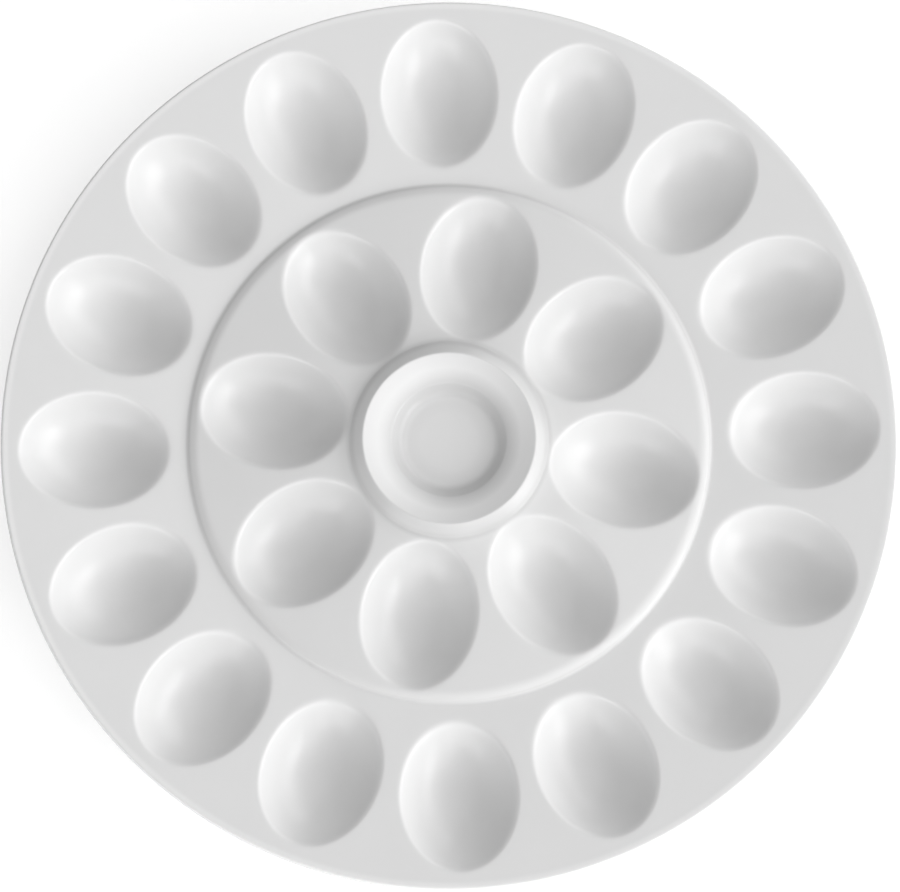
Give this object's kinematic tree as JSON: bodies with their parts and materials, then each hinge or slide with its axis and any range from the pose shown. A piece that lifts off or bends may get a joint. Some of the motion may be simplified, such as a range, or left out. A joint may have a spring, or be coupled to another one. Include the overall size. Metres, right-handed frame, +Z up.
{
  "type": "deviled egg platter",
  "caption": "Round white porcelain platter with rings of half-egg wells round a raised central dip bowl, standing on an unglazed foot ring.",
  "frame": {"origin": "centre of the circle that the foot ring stands on, on the table", "axes": "+Z up along the platter's axis; +X passes through the middle of an inner well"},
  "size_m": [0.3174, 0.3174, 0.0252],
  "materials": {
    "glaze": "glossy clear glaze over white porcelain",
    "bisque": "bare fired porcelain, fine and matte, on the edge that stands on the table"
  },
  "bodies": {
    "root": {"rim": "glaze", "outer_deck": "glaze", "inner_deck": "glaze", "dip_collar": "glaze", "dip_bowl": "glaze", "foot_ring": "bisque", "outer_cup_01": "glaze", "outer_cup_02": "glaze", "outer_cup_03": "glaze", "outer_cup_04": "glaze", "outer_cup_05": "glaze", "outer_cup_06": "glaze", "outer_cup_07": "glaze", "outer_cup_08": "glaze", "outer_cup_09": "glaze", "outer_cup_10": "glaze", "outer_cup_11": "glaze", "outer_cup_12": "glaze", "outer_cup_13": "glaze", "outer_cup_14": "glaze", "outer_cup_15": "glaze", "outer_cup_16": "glaze", "inner_cup_1": "glaze", "inner_cup_2": "glaze", "inner_cup_3": "glaze", "inner_cup_4": "glaze", "inner_cup_5": "glaze", "inner_cup_6": "glaze", "inner_cup_7": "glaze", "inner_cup_8": "glaze"}
  },
  "joints": []
}
